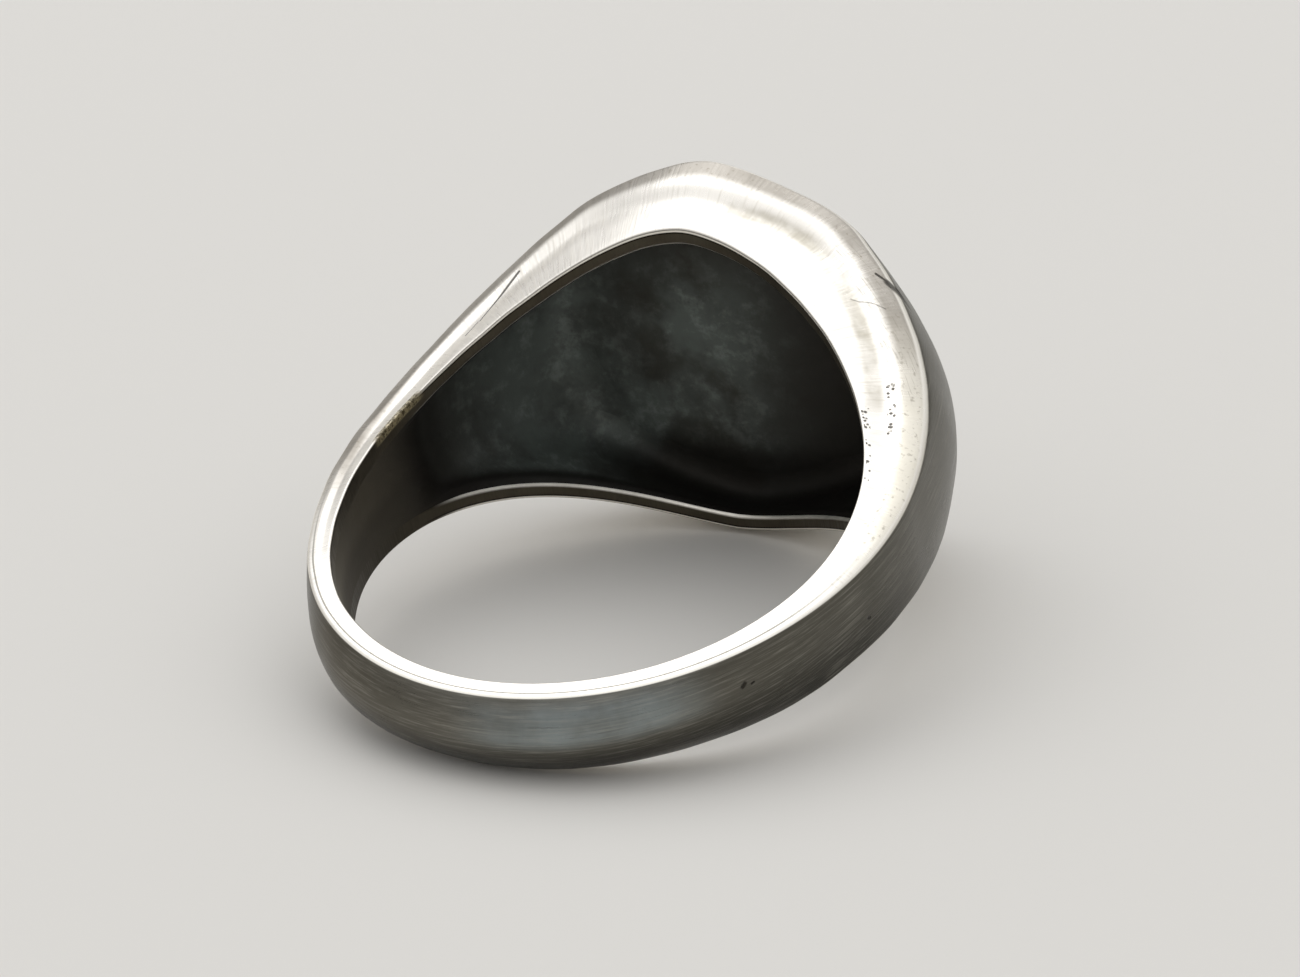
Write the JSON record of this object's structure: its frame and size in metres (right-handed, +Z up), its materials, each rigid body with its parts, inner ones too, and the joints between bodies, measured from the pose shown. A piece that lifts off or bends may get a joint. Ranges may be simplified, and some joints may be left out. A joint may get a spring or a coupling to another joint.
{
  "type": "signet ring",
  "caption": "Signet ring with a plain flat oval face, flared domed shoulders, a hollow open-backed head and a narrow half-round shank, lying on its side.",
  "frame": {"origin": "on the surface that the ring lies on, under the middle of its bounding box", "axes": "+Z up as the ring lies on its side; -Y the way the signet face looks; X across the head, the ring is the same on both sides of X = 0; the finger's axis leans 16.1 degrees from +Z towards +Y"},
  "size_m": [0.023, 0.0262, 0.0162],
  "materials": {
    "silver": "satin-polished sterling silver, blackened inside the head"
  },
  "bodies": {
    "root": {"shank": "silver", "left_shoulder": "silver", "right_shoulder": "silver", "upper_side_wall": "silver", "lower_side_wall": "silver", "upper_bore_rim": "silver", "lower_bore_rim": "silver", "signet_table": "silver"}
  },
  "joints": []
}
